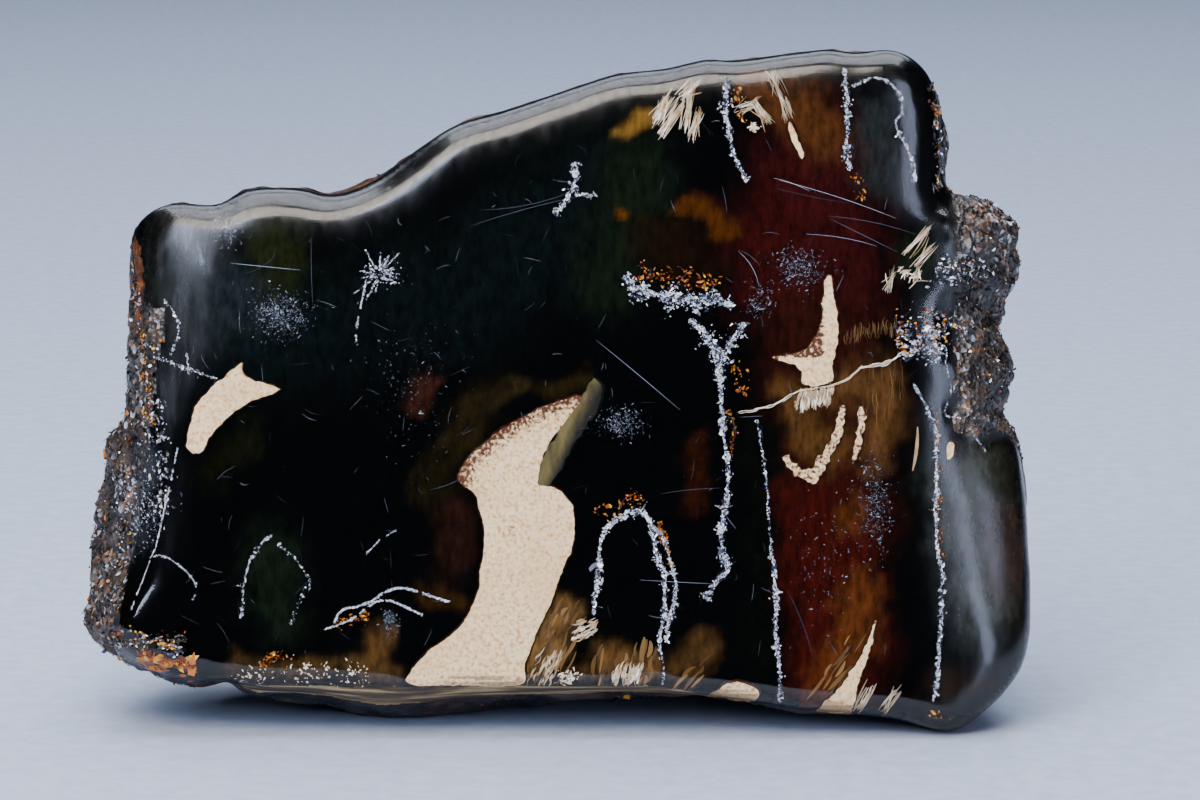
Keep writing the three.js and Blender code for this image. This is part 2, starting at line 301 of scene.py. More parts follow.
# %% Skin of the lump
body = bpy.data.objects.new("amber_body", solid.data.copy())
bpy.context.collection.objects.link(body)
body.data.materials.clear()
remesh = body.modifiers.new("skin", "REMESH")
remesh.mode = "VOXEL"
remesh.voxel_size = 0.5 * MM
graph = bpy.context.evaluated_depsgraph_get()
skin = bpy.data.meshes.new_from_object(body.evaluated_get(graph))
body.modifiers.clear()
body.data = skin
print("skin:", len(skin.vertices), "points,", len(skin.polygons), "faces")


def step(low, high, value):
    """0 at low, 1 at high, and smooth between."""
    t = np.clip((value - low) / (high - low), 0, 1)
    return t * t * (3 - 2 * t)


def field(points, size, octaves=3):
    """Fractal noise at points in mm, with blobs about size mm wide."""
    return np.array([noise.fractal(Vector(p) / size, 1.0, 2.0, octaves) for p in points])


def bare(u, v, w):
    """Where the lump was never polished: 1 on crust, 0 on the window."""
    glassy = step(-35, -37, u) * step(7, 10, v) * step(29, 26, v) * step(8.5, 6.5, w)
    behind = step(3.6, 5.2, w - 3.0 * step(37, 42, u) * step(32, 28, v)) * (1 - glassy)
    knob = step(38.6, 40.4, u) * step(29.5, 31.5, v) * step(55.0, 53.5, v)
    left = step(-41.6, -42.6, u - 0.16 * (v - 26)) * step(0.6, 1.6, w) * step(46, 42, v)
    return np.clip(behind + knob + left, 0, 1)


def read(data, name):
    """Rows of three numbers from a mesh collection."""
    flat = np.empty(len(data) * 3)
    data.foreach_get(name, flat)
    return flat.reshape(-1, 3)


# %% Polished window and rough crust
SMOOTHING, PILLOW, PILLOW_REACH = 20, 0.6, 9.0
RIM_SMOOTHING = 12
LEFT_TURN = {"u": -33.0, "bow": 0.012}

xyz = read(skin.vertices, "co") / MM
pairs = np.empty(len(skin.edges) * 2, dtype=np.int64)
skin.edges.foreach_get("vertices", pairs)
one, two = pairs.reshape(-1, 2).T
links = np.bincount(pairs, minlength=len(xyz))[:, None]
raw = bare(*to_window(xyz).T)
for turn in range(SMOOTHING):
    total = np.stack([np.bincount(one, xyz[two, k], len(xyz))
                      + np.bincount(two, xyz[one, k], len(xyz)) for k in range(3)], axis=1)
    xyz += 0.5 * (1 - 0.75 * raw[:, None]) * (total / links - xyz)

window = to_window(xyz)
u, v, w = window.T.copy()
raw = bare(u, v, w)
target = dome(u, v)
near = step(0.45, 0.2, np.abs(w - target)) * (1 - raw)
rim = np.flatnonzero((near < 0.5) & (w < 4))
tree_of_rim = kdtree.KDTree(len(rim))
for k in rim:
    tree_of_rim.insert((u[k], v[k], 0), int(k))
tree_of_rim.balance()
inside = np.array([tree_of_rim.find((a, b, 0))[2] if n > 0.5 else 0.0
                   for a, b, n in zip(u, v, near)])
roll = PILLOW * np.clip(1 - inside / PILLOW_REACH, 0, 1) ** 2 * step(8, 16, v)
roll += LEFT_TURN["bow"] * np.clip(LEFT_TURN["u"] - u, 0, 9) ** 2 * step(24, 40, v)
for turn in range(RIM_SMOOTHING):
    roll = (np.bincount(one, roll[two], len(xyz)) + np.bincount(two, roll[one], len(xyz))) / links[:, 0]
wave = 0.02 * field(window * (1, 1, 0), 16.0, 2) * near
wave += 0.14 * field(window, 4.5, 2) * (1 - near) * step(24, 36, v)
window[:, 2] += (target - w) * near + roll * step(5, 1, w) + wave * step(6, 3, w)
worn_at = np.clip(step(5, 0, inside) * step(12, 20, v) + 1.3 * step(-32, -38, u) * step(30, 40, v)
                  + step(34, 40, u) * step(36, 28, v), 0, 1.3) * 0.55 + 0.08
xyz = to_frame(window)
edge_share = (0.5 * (1 - raw) * step(8, 5, w) * step(3.0, 1.0, inside))[:, None]
for turn in range(RIM_SMOOTHING):
    total = np.stack([np.bincount(one, xyz[two, k], len(xyz))
                      + np.bincount(two, xyz[one, k], len(xyz)) for k in range(3)], axis=1)
    xyz += edge_share * (total / links - xyz)
skin.vertices.foreach_set("co", (xyz * MM).ravel())
skin.update()
normals = np.empty(len(xyz) * 3)
skin.vertex_normals.foreach_get("vector", normals)
normals = normals.reshape(-1, 3)
rough = raw * step(0.05, 0.8, xyz[:, 2])
pebbles = np.array([noise.voronoi(Vector(p) / 1.5)[0][0] if r > 0.05 else 0.5 for p, r in zip(xyz, rough)])
knob_at = step(37.5, 40, u) * step(28, 31, v)
ends_at = np.clip(knob_at + step(-35, -38, u), 0, 1)
lumps = (0.35 + 1.0 * knob_at) * field(xyz, 4.0) + 0.12 * field(xyz + 40, 1.7)
lumps += ends_at * 0.55 * (0.5 - pebbles)
xyz += normals * (lumps * rough)[:, None]
xyz[:, 2] = np.maximum(xyz[:, 2], 0)
skin.vertices.foreach_set("co", (xyz * MM).ravel())
skin.update()
print("rough points:", int((rough > 0.5).sum()))

# %% Crust and clear places
UNDERSIDE = {"left": -33.5, "right": 24.0, "top": 5.35}

rind_at = np.where(raw > 0.02, raw, 0)
skin.attributes.new("rind", "FLOAT", "POINT").data.foreach_set("value", rind_at)
skin.attributes.new("wear", "FLOAT", "POINT").data.foreach_set("value", worn_at)
middle = read(skin.polygons, "center") / MM
u, v, w = to_window(middle).T
covered = bare(u, v, w) + 0.5 * field(middle, 2.0) > 0.6
under = ~covered & (u > UNDERSIDE["left"]) & (u < UNDERSIDE["right"])
under &= v < UNDERSIDE["top"] - 0.2 * np.clip(u - 10, 0, None)
skin.materials.append(amber)
skin.materials.append(crust)
skin.materials.append(bark)
skin.materials.append(broken)
at_ends = (u > 37.5) & (v > 27) | (u < -37) | (field(middle, 7.0) > 0.42)
kind = np.select([covered & at_ends, under, covered], [1, 2, 3], 0)
skin.polygons.foreach_set("material_index", kind.astype(np.int32))
skin.polygons.foreach_set("use_smooth", np.ones(len(skin.polygons), dtype=bool))
skin.update()
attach(body, "root")
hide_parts("amber")
tree_of_skin = BVHTree.FromPolygons(
    [vert.co for vert in skin.vertices], [p.vertices for p in skin.polygons])
print("crust faces:", int(covered.sum()), "of", len(covered))

# %% [markdown]
# ## Bodies in the resin
#
# Each kind of body is gathered in a pile of points and faces, and each pile
# becomes one piece. A few functions make every body: a cloud with a flat top, a
# shard with five corners, a fibre, and tinsel and cracks, which are lines of
# shards. All of them are closed, and find the window by a ray from in front.

# %% Piles and where they lie
ACROSS, UP = Vector((1, 0, 0)), Vector((0, SIN, COS))


def on_window(u, v):
    """The skin's point in front of u, v in mm and its outward normal, or None."""
    start = Vector(to_frame([[u, v, -20.0]])[0]) * MM
    hit, normal, _, _ = tree_of_skin.ray_cast(start, INTO, 0.08)
    return (hit / MM, normal) if hit else None


def depth_at(u, v):
    """How far behind the window's front plane the skin lies at u, v, in mm."""
    seen = on_window(u, v)
    return to_window(np.array([seen[0]]))[0][2] if seen else float(dome(u, v))


class Pile:
    """Points in mm and faces that end as one piece with one finish."""

    def __init__(self, name, material, slot):
        self.name, self.material, self.slot = name, material, slot
        self.points, self.faces, self.stain_and_painted_light = [], [], []

    def put(self, points, faces, stain_and_painted_light=None):
        first = len(self.points)
        self.points += [tuple(p) for p in points]
        self.faces += [[first + i for i in face] for face in faces]
        self.stain_and_painted_light += list(stain_and_painted_light) if stain_and_painted_light is not None else [0.0] * len(points)

    def make(self):
        mesh = bpy.data.meshes.new(self.name)
        mesh.from_pydata([[c * MM for c in p] for p in self.points], [], self.faces)
        mesh.attributes.new("stain_and_painted_light", "FLOAT", "POINT").data.foreach_set("value", self.stain_and_painted_light)
        mesh.materials.append(self.material)
        piece = bpy.data.objects.new(self.name, mesh)
        bpy.context.collection.objects.link(piece)
        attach(piece, "root")
        print(self.name + ":", len(mesh.polygons), "faces")


def curve(points, gap, closed=True):
    """A smooth line through points, with a point about every gap mm."""
    points = [np.array(p, dtype=float) for p in points]
    n = len(points)
    line = []
    for i in range(n if closed else n - 1):
        around = (-1, 0, 1, 2)
        if closed:
            a, b, c, d = (points[(i + k) % n] for k in around)
        else:
            a, b, c, d = (points[min(max(i + k, 0), n - 1)] for k in around)
        steps = max(1, int(np.linalg.norm(c - b) / gap))
        for t in np.arange(steps) / steps:
            line.append(0.5 * (2 * b + (c - a) * t + (2 * a - 5 * b + 4 * c - d) * t * t
                               + (3 * b - a - 3 * c + d) * t ** 3))
    if not closed:
        line.append(points[-1])
    return np.array(line)


# %% Clouds
TIGHT = ((0.08, 0.1), (0.2, 0.4))
FADE_REACH = 1.6
# The number on the clouds' sunken sides, which paints them dark as shade.
PAINTED_SHADE_ON_SIDES = 1.5


def cloud(pile, outline, lift=0.02, skirt=((0.05, 0.15), (0.22, 0.6), (0.5, 1.5)), gap=0.22,
          ragged=0.12, grid=0.9, stain_and_painted_light=None, low=6.5, fading=False,
          side=PAINTED_SHADE_ON_SIDES):
    """A closed body with a flat top at the window, and sides that spread below it.

    A negative lift buries the top. Each skirt row is a spread and a depth in mm.
    Below the height low the sides go straight in, to stay inside the lump. A
    fading cloud carries a number that runs out to 0 down its sides.
    """
    line = curve(outline, gap)
    tangent = np.roll(line, -1, axis=0) - np.roll(line, 1, axis=0)
    out = np.stack([tangent[:, 1], -tangent[:, 0]], axis=1)
    out /= np.linalg.norm(out, axis=1)[:, None] + 1e-9
    turn = np.sum(line[:, 0] * np.roll(line[:, 1], -1) - np.roll(line[:, 0], -1) * line[:, 1])
    if turn < 0:
        out = -out
    wobble = np.array([noise.fractal(Vector((a, b, 3.3)) / 0.6, 0.8, 2.0, 3) for a, b in line])
    line = line + out * (wobble * ragged)[:, None]
    rim_count = len(line)
    inner = []
    for j, y in enumerate(np.arange(line[:, 1].min(), line[:, 1].max(), grid * 0.87)):
        for x in np.arange(line[:, 0].min() + (j % 2) * grid / 2, line[:, 0].max(), grid):
            if np.hypot(line[:, 0] - x, line[:, 1] - y).min() > grid * 0.45:
                inner.append((x, y))
    flat = [Vector(p) for p in list(line) + inner]
    edges = [(i, (i + 1) % rim_count) for i in range(rim_count)]
    _, _, triangles, origin, _, _ = geometry.delaunay_2d_cdt(flat, edges, [], 1, 1e-7)
    triangles = [[origin[i][0] for i in t] for t in triangles if all(origin[i] for i in t)]
    tops = np.array([(p[0], p[1], depth_at(p[0], p[1])) for p in flat])
    points = [t - (0, 0, lift) for t in tops]
    faces = [list(t) for t in triangles]
    above = list(range(rim_count))
    free = np.where(tops[:rim_count, 1] < low, 0.1, 1.0)
    for spread, depth in skirt:
        ring = list(range(len(points), len(points) + rim_count))
        for (x, y), way, top, share in zip(line, out, tops, free):
            grow = spread * share * (1 + 0.8 * noise.noise(Vector((x, y, spread)) / 2.5))
            points.append(np.array([x + way[0] * grow, y + way[1] * grow,
                                    top[2] - lift + depth * (0.3 + 0.7 * share)]))
        for i in range(rim_count):
            k = (i + 1) % rim_count
            faces.append([above[k], above[i], ring[i], ring[k]])
        above = ring
    under = above + list(range(len(points), len(points) + len(inner)))
    points += [t + (0, 0, skirt[-1][1] * 0.6 - lift) for t in tops[rim_count:]]
    faces += [[under[i] for i in reversed(t)] for t in triangles]
    marks = [stain_and_painted_light(p[0], p[1]) if stain_and_painted_light else 0.0 for p in flat]
    # The sides get a high number, which turns them brown: painted shade.
    marks += [side] * (len(points) - len(flat))
    if fading:
        core = [np.hypot(line[:, 0] - x, line[:, 1] - y).min() for x, y in inner]
        marks = [0.5] * rim_count + [0.5 + 0.5 * min(1, c / FADE_REACH) for c in core]
        for k in range(len(skirt)):
            marks += [0.5 * (1 - (k + 1) / len(skirt))] * rim_count
        marks += [0.0] * len(inner)
    pile.put(to_frame(points), faces, marks)


# %% Shards, tinsel and fibres
CORNERS = 5


def shard(pile, point, normal, size, along, long=1.0, tilt=0.3, lift=0.02, root=0.6,
          tone=(0.0, 1.0)):
    """A crystal: an uneven, tilted top with five corners, and a root in the resin."""
    side = normal.cross(along).normalized()
    along = side.cross(normal)
    angles = chance.uniform(0, 6.28) + 2 * np.pi * (np.arange(CORNERS)
                                                    + chance.uniform(-0.3, 0.3, CORNERS)) / CORNERS
    reach = size * chance.uniform(0.5, 1.0, CORNERS)
    slope = chance.normal(0, tilt, 2)
    top = []
    for angle, r in zip(angles, reach):
        x, y = r * long * math.cos(angle), r * math.sin(angle)
        top.append(point + along * x + side * y + normal * (lift + slope[0] * x + slope[1] * y))
    faces = [list(range(CORNERS))]
    faces += [[(k + 1) % CORNERS, k, CORNERS] for k in range(CORNERS)]
    pile.put(top + [point - normal * size * root], faces, [chance.uniform(*tone)] * (CORNERS + 1))


def heading(angle):
    """A direction in the window's plane, in the frame."""
    return ACROSS * math.cos(angle) + UP * math.sin(angle)


def tinsel(piles, path, width=0.3, per_mm=14, size=0.14, tilt=0.5, lift=0.0, stray=0.6,
           tone=(0.0, 1.0)):
    """Shards of one or more piles in turn, strewn along a line on the window."""
    line = curve(path, 0.3, closed=False)
    ways = np.diff(line, axis=0)
    lengths = np.linalg.norm(ways, axis=1) + 1e-9
    for k in range(int(lengths.sum() * per_mm)):
        i = chance.choice(len(lengths), p=lengths / lengths.sum())
        way = ways[i] / lengths[i]
        u, v = line[i] + ways[i] * chance.random() + chance.normal(0, width / 2.5) * way[[1, 0]] * (-1, 1)
        seen = on_window(u, v)
        if seen and noise.noise(Vector((u, v, 0)) / 0.9) > -0.25:
            angle = math.atan2(way[1], way[0]) + chance.normal(0, stray)
            shard(piles[k % len(piles)], *seen, size * chance.lognormal(0, 0.35), heading(angle),
                  chance.uniform(1, 2.6), tilt, lift, tone=tone)


# Shard tones in a crack: the high ones turn near-white as painted glints, the low ones near-black as
# painted shade.
PAINTED_GLINT_TONES, DARK = (0.4, 1.0), (0.0, 0.3)


def crack(pile, path, width=0.6, per_mm=30, size=0.1):
    """A crack of glittering shards that swells, thins and frays, round a dark core. Its near-white shards
    are painted glints, and its dark ones, most of the core, painted shade.
    """
    line = curve(path, 0.12, closed=False)
    way = np.gradient(line, axis=0)
    side = np.stack([-way[:, 1], way[:, 0]], axis=1) / (np.linalg.norm(way, axis=1)[:, None] + 1e-9)
    swell = np.array([noise.fractal(Vector((a, b, 3.0)) / 1.3, 0.8, 2.0, 3) for a, b in line])
    sway = np.array([noise.fractal(Vector((a, b, 9.0)) / 1.0, 0.8, 2.0, 4) for a, b in line])
    wide = width * np.clip(0.75 + 0.9 * swell, 0.15, 1.8)
    for _ in range(int(len(line) * 0.12 * per_mm)):
        k = chance.integers(len(line))
        off = chance.laplace(0, 0.22) + 0.5 * sway[k]
        u, v = line[k] + side[k] * wide[k] * off + way[k] * chance.uniform(-1, 1)
        seen = on_window(u, v)
        core = abs(off - 0.5 * sway[k]) < 0.1
        if seen:
            angle = math.atan2(way[k, 1], way[k, 0]) + chance.normal(0, 0.7)
            shard(pile, *seen, size * chance.lognormal(0, 0.55), heading(angle), chance.uniform(1, 3), 0.35,
                  -0.012 if core else 0.004,
                  tone=DARK if chance.random() < (0.8 if core else 0.3) else PAINTED_GLINT_TONES)
        if chance.random() < 0.008:
            tip = line[k] + side[k] * chance.choice([-1, 1]) * (wide[k] * 0.4 + chance.exponential(0.2))
            tinsel([pile], [line[k], tip + chance.normal(0, 0.15, 2)], 0.05, 22, size * 0.6, 0.4, 0.0, 0.3)


def scatter(piles, middle, reach, count, size=0.1, tilt=0.4, lift=0.0, long=(1, 2)):
    """Shards strewn in an ellipse on the window, densest in its middle."""
    for k in range(count):
        u, v = np.array(middle) + chance.normal(0, 0.45, 2) * reach
        seen = on_window(u, v)
        if seen:
            shard(piles[k % len(piles)], *seen, size * chance.lognormal(0, 0.4),
                  heading(chance.uniform(0, 6.28)), chance.uniform(*long), tilt, lift)


RINGS = 6


def fibre(pile, start, end, width, depth=(0.0, 0.0), bend=0.0, thick=0.6):
    """A long thin splinter from start to end, at a depth in mm at each end."""
    start, end = np.array(start, dtype=float), np.array(end, dtype=float)
    way = (end - start) / (np.linalg.norm(end - start) + 1e-9)
    side = np.array([-way[1], way[0]])
    points = []
    for t in np.linspace(0, 1, RINGS):
        u, v = start + (end - start) * t + side * bend * 4 * t * (1 - t)
        half = width / 2 * math.sin(math.pi * (0.06 + 0.88 * t)) ** 0.7
        w = depth_at(u, v) + depth[0] + (depth[1] - depth[0]) * t
        points += [(u + side[0] * half, v + side[1] * half, w),
                   (u - side[0] * half, v - side[1] * half, w), (u, v, w + 2 * half * thick)]
    faces = [[2, 1, 0], [3 * RINGS - 3, 3 * RINGS - 2, 3 * RINGS - 1]]
    for k in range(0, 3 * RINGS - 3, 3):
        for i in range(3):
            j = (i + 1) % 3
            faces.append([k + i, k + j, k + 3 + j, k + 3 + i])
    pile.put(to_frame(points), faces, [chance.random()] * len(points))


def brush(pile, corner, across, up, count, length, width, depth, angle, fan=0.08):
    """Fibres in a slanted box: a corner and two sides, in mm, with one main angle."""
    for _ in range(count):
        a, b = chance.random(2)
        middle = np.array(corner) + np.array(across) * a + np.array(up) * b
        turn = angle + chance.normal(0, fan)
        half = chance.uniform(*length) / 2 * np.array([math.cos(turn), math.sin(turn)])
        far = chance.uniform(*depth)
        fibre(pile, middle - half, middle + half, chance.uniform(*width),
              (far, far), chance.normal(0, 0.12))


print("tools for the bodies are ready")

# %% [markdown]
# ## Cream clouds
#
# The large cream patches are opaque amber full of tiny bubbles. They were ground
# flush with the window, so each is a closed body with a flat top at the window.
# Its sides are painted dark as shade, so that no bright rim shows through the resin.
# Brown dust has settled along the upper border of the largest one.

# %% Cream clouds
MAIN = [
    (2.1, 34.4), (-1.8, 33.3), (-4.4, 31.9), (-6.7, 30.4), (-9.2, 28.3), (-10.2, 26.4),
    (-9.9, 25.6), (-8.5, 24.7), (-8.1, 23.1), (-7.5, 20.6), (-7.7, 18.7), (-8, 17), (-8.1, 15.3),
    (-9, 13), (-10.5, 10.8), (-13, 9), (-14.8, 7), (-15, 5.6), (-9.5, 5.4),
    (-4, 5.5), (-3.5, 7.5), (-2.2, 11), (-0.8, 14), (0.2, 17),
    (1.1, 18.9), (1.4, 20.6), (1.3, 23.1), (0.6, 24.3), (-0.3, 25.1), (-1.2, 25.4), (-2.2, 25.6),
    (-2, 27.5), (-1.2, 29.4), (0.5, 31.9)]
LEFT = [
    (-31.9, 37.7), (-34.1, 35.9), (-36.2, 33.8), (-37, 31.7), (-37.4, 29.4), (-36.7, 28.7),
    (-35.7, 29), (-35, 30.4), (-33.4, 32.1), (-31.1, 33.8), (-28.3, 34.8), (-28.3, 35.3),
    (-30.6, 35.9), (-31.8, 36.8)]
PRONGS = [
    (21.4, 38.3), (22.2, 38.5), (24.3, 38.9), (25.7, 40.6), (26.2, 42.9), (26.4, 45.3),
    (26.8, 46.5), (27.1, 46.4), (27.6, 43.4), (27.7, 39.9), (27.3, 37.7), (27.1, 35.8),
    (24.5, 35.6), (24.2, 36.8), (23.4, 37.6), (22.2, 37.8)]
HOOK = [
    (22.4, 28.2), (22.9, 28.4), (23.4, 27.6), (24.6, 27), (25.4, 27.2), (25.8, 28.2), (26.6, 29),
    (27.6, 31.2), (28, 33.4), (28.4, 33.4), (28.3, 31), (27.2, 28.6), (26.4, 27), (25.4, 25.6),
    (24.1, 26.1), (22.9, 27.1)]
SECOND_STREAK = [
    (30, 33.2), (30.5, 32.6), (30.4, 30.8), (29.9, 29), (29.3, 27.6), (29.4, 29), (29.8, 31)]
LOW_RIGHT = [
    (31.6, 12), (31.3, 10), (30.7, 8), (30.1, 6.4), (29.5, 4), (29, 2.3), (27.4, 2.4),
    (25.8, 2.7), (27, 4.2), (28.1, 5.5), (29.2, 7), (29.9, 7.9), (30.8, 10)]
CREAM_LUMPS = [
    [(14.9, 4), (15.8, 5), (17, 5.6), (18.2, 5.7), (19.7, 5), (19.7, 4), (18.5, 3.5), (17, 3.4)],
    [(22.9, 61.8), (23.4, 61.2), (24.4, 58.4), (24.2, 58.1), (23.6, 59.2), (23, 60.6)],
    [(38.8, 29.6), (39.5, 29.7), (39.3, 28.4), (38.8, 28.1)]]


def dusty(u, v):
    """Brown dust along the upper left border of the main cloud, and a smudge in it."""
    border = np.array(MAIN[:7])
    along = np.linspace(border[:-1], border[1:], 6).reshape(-1, 2)
    near = np.hypot(along[:, 0] - u, along[:, 1] - v).min()
    smudge = math.hypot((u + 4.8) / 1.6, (v - 21) / 3.4)
    return 0.85 * max(0.0, 1 - near / 3.4) ** 1.4 + max(0.0, 0.45 - 0.4 * smudge)


clouds = Pile("cream_clouds", cream, "pale_inclusion")
cloud(clouds, MAIN, stain_and_painted_light=dusty, grid=0.7)
cloud(clouds, LEFT, skirt=((0.1, 0.3), (0.2, 0.8), (0.4, 1.5)))
cloud(clouds, PRONGS, grid=0.5, ragged=0.2, stain_and_painted_light=lambda u, v: 0.75 * float(v > 38 and u < 26.4))
cloud(clouds, HOOK, grid=0.4, ragged=0.3, stain_and_painted_light=lambda u, v: 0.5)
cloud(clouds, SECOND_STREAK, grid=0.4, ragged=0.3, stain_and_painted_light=lambda u, v: 0.5)
cloud(clouds, LOW_RIGHT, grid=0.5, ragged=0.2, low=2.6)
for outline in CREAM_LUMPS:
    cloud(clouds, outline, grid=0.5, skirt=((0.1, 0.2), (0.3, 0.6)), low=4.5)
clouds.make()

# %% [markdown]
# ## Colour in the depth
#
# Under its surface the dark resin is clouded: green along the cracks, golden brown
# in fans above the lower edge. The maroon on the right is painted glow, of light
# shining through the resin from behind. The blue-grey patches at the right edge,
# the top right and the top left are painted reflections, and the teal haze across
# the top is partly the resin's own blue-green, partly painted reflection. Separate
# bodies would end in hard edges, so the clouds are one thin closed veil just below
# the window. Each tint is a soft brush stroke along a few points, and noise bends
# and frays it.

# %% Tints in the depth
VEIL_DEPTH, VEIL_THICK, VEIL_GRID, VEIL_MARGIN = 0.4, 0.25, 0.42, 0.9
DEEP = "#060a0f"
TINTS_AND_PAINTED_LIGHT = [
    # Partly the resin's own blue-green, partly painted reflection: the dark teal haze across the top.
    ("#13232b", 0.8, 9.0, [(-30, 40), (-10, 45), (4, 56)]),
    # Painted glow: the four maroon strokes on the right stand for light shining through the resin from
    # behind.
    ("#4c1c22", 1.0, 8.0, [(26, 58), (26, 52), (26, 45)]),
    ("#4a1a1c", 0.9, 5.0, [(20.5, 52), (20.5, 46)]),
    ("#42201a", 1.0, 7.5, [(26, 40), (27, 30), (27.5, 22)]),
    ("#551d18", 1.0, 6.5, [(26.5, 22), (27.5, 12), (27, 5)]),
    ("#82512f", 0.85, 3.0, [(30.4, 15), (29, 9), (26, 4)]),
    ("#6c4a30", 0.9, 3.4, [(20.5, 65), (24, 63.5), (26.5, 60)]),
    ("#856746", 0.9, 3.0, [(28.6, 35), (32, 36.4), (33, 33), (31.4, 29)]),
    ("#7c5f3c", 0.9, 2.6, [(23, 35), (24.6, 30), (27, 29)]),
    ("#744828", 0.9, 1.5, [(29.6, 24), (28.8, 21.6)]),
    ("#1d2f26", 0.9, 4.8, [(8, 57), (7, 51), (5, 45)]),
    ("#2a1d12", 0.8, 4.2, [(9, 49.6), (14, 47.6)]),
    ("#0c1411", 1.0, 2.0, [(19.5, 31), (20, 20), (20, 7)]),
    ("#1f3229", 0.9, 4.2, [(-29, 18), (-28.5, 13)]),
    ("#2c3a22", 0.9, 3.4, [(-29, 50.6), (-28.6, 46.5)]),
    ("#222a17", 0.7, 2.2, [(-34.6, 26.5), (-32, 30)]),
    ("#22342c", 0.9, 3.2, [(35.6, 48)]),
    ("#382420", 1.0, 2.6, [(-11, 22), (-10.4, 18.2)]),
    ("#492d2a", 1.0, 1.6, [(-14.2, 34.0), (-12.9, 35.8)]),
    ("#565138", 0.9, 1.6, [(-10.8, 29), (-8, 33), (-4.5, 34.9)]),
    ("#2a2717", 0.8, 2.6, [(-12.8, 25), (-10.5, 30), (-6, 35)]),
    ("#3a3520", 0.8, 1.4, [(-1.5, 35), (2, 36.4)]),
    ("#a58c60", 0.95, 2.4, [(-2.6, 6.0), (-1, 10), (0.4, 13)]),
    ("#997c50", 0.95, 2.3, [(3, 6), (5, 8), (8, 6)]),
    ("#705a3c", 0.8, 2.0, [(11.5, 6), (14.8, 8.8)]),
    ("#786040", 0.9, 1.7, [(-17.6, 11), (-19, 7)]),
    ("#6e5c3e", 0.85, 1.5, [(-33, 6.4), (-24, 7), (-17, 6.2)]),
    ("#4d3a1f", 0.8, 1.4, [(-14, 15.8), (-10.4, 13.6)]),
    ("#42220f", 0.8, 1.7, [(13.6, 29), (13.4, 24)]),
    ("#6a421c", 0.9, 1.4, [(12.4, 53.2), (15.2, 52.8), (16.6, 51)]),
    ("#8a5a14", 0.9, 0.8, [(6.2, 52.2)]),
    ("#a98f4e", 0.9, 1.3, [(6.4, 61.2), (8.2, 62.8)]),
    # Painted reflections: the blue-grey strokes at the right edge and at the top right.
    ("#526579", 1.0, 5.5, [(41, 26), (43, 14)]),
    ("#3a4c62", 0.8, 3.2, [(31.6, 63), (32, 57)]),
    ("#4a2c20", 0.6, 3.0, [(44.4, 22), (44.6, 16)]),
    ("#33260f", 0.7, 2.6, [(38, 4.4), (42, 5.6)]),
    # Painted reflection: the blue-grey haze at the top left.
    ("#31445a", 0.8, 5.5, [(-38.6, 46), (-33, 44)])]


def from_stroke(u, v, points):
    """Each place's distance in mm from a line of points on the window."""
    ends = points + points[-1:] if len(points) == 1 else points
    nearest = np.full(len(u), 1e9)
    for (a, b), (c, d) in zip(ends[:-1], ends[1:]):
        long = max((c - a) ** 2 + (d - b) ** 2, 1e-9)
        t = np.clip(((u - a) * (c - a) + (v - b) * (d - b)) / long, 0, 1)
        nearest = np.minimum(nearest, np.hypot(u - a - t * (c - a), v - b - t * (d - b)))
    return nearest


def veil_colour_and_painted_light(u, v):
    """The veil's linear colour at each u, v: its tints, with painted glow and painted reflections among
    them.
    """
    flat = np.stack([u, v, np.zeros(len(u))], axis=1)
    bent_u = u + 1.5 * field(flat, 4.0)
    bent_v = v + 1.5 * field(flat + 50, 4.0)
    streaks = field(flat * (3.0, 0.4, 1), 1.0)
    fray = 0.75 + 0.55 * field(flat + 90, 1.6) + 0.5 * streaks
    colour = np.tile(linear(DEEP), (len(u), 1))
    for code, strength, reach, points in TINTS_AND_PAINTED_LIGHT:
        share = step(1.25 * reach, 0.15 * reach, from_stroke(bent_u, bent_v, points))
        share = np.clip(strength * share * np.clip(fray + 0.5 * share, 0, 1.1), 0, 1)[:, None]
        colour = colour * (1 - share) + np.array(linear(code)) * share
    return colour


# %% Veil of colour
murk_and_painted_light, tree, shader = finish("debris clouds, painted glow and painted reflections", Roughness=0.8,
                            Specular_IOR_Level=0.0)
# The tint attribute carries the veil's colours, painted glow and painted reflections included.
tint = add(tree, "ShaderNodeAttribute", attribute_name="tint").outputs["Color"]
dust = rescale(tree, speckle(tree, 0.35, detail=6, stretch=(1, 1, 0.35)), 0.35, 0.65, 0.6, 0.0)
tree.links.new(blend(tree, dust, tint, linear("#030303")), shader.inputs["Base Color"])

columns, rows = np.arange(-44.0, 47.0, VEIL_GRID), np.arange(2.6, 67.0, VEIL_GRID)
deep = {}
for i, a in enumerate(columns):
    for j, b in enumerate(rows):
        around = [on_window(a + x, b + y) for x, y in
                  ((0, 0), (VEIL_MARGIN, 0), (-VEIL_MARGIN, 0), (0, VEIL_MARGIN), (0, -VEIL_MARGIN))]
        if all(around):
            depths = to_window(np.array([spot[0] for spot in around]))[:, 2]
            if depths.max() < 7 and depths.max() - depths.min() < 2.6:
                deep[i, j] = depths.max()
order = {place: k for k, place in enumerate(deep)}
flat = np.array([(columns[i], rows[j], depth + VEIL_DEPTH) for (i, j), depth in deep.items()])
count = len(flat)
faces, walls = [], {}
for i, j in deep:
    corner = [(i, j), (i + 1, j), (i + 1, j + 1), (i, j + 1)]
    if all(place in order for place in corner):
        quad = [order[place] for place in corner]
        faces.append(quad)
        faces.append([k + count for k in reversed(quad)])
        for a, b in zip(quad, quad[1:] + quad[:1]):
            if walls.pop((b, a), None) is None:
                walls[a, b] = True
faces += [[b, a, a + count, b + count] for a, b in walls]
used = np.unique(np.concatenate([np.ravel(face) for face in faces]))
slim = np.full(2 * count, -1)
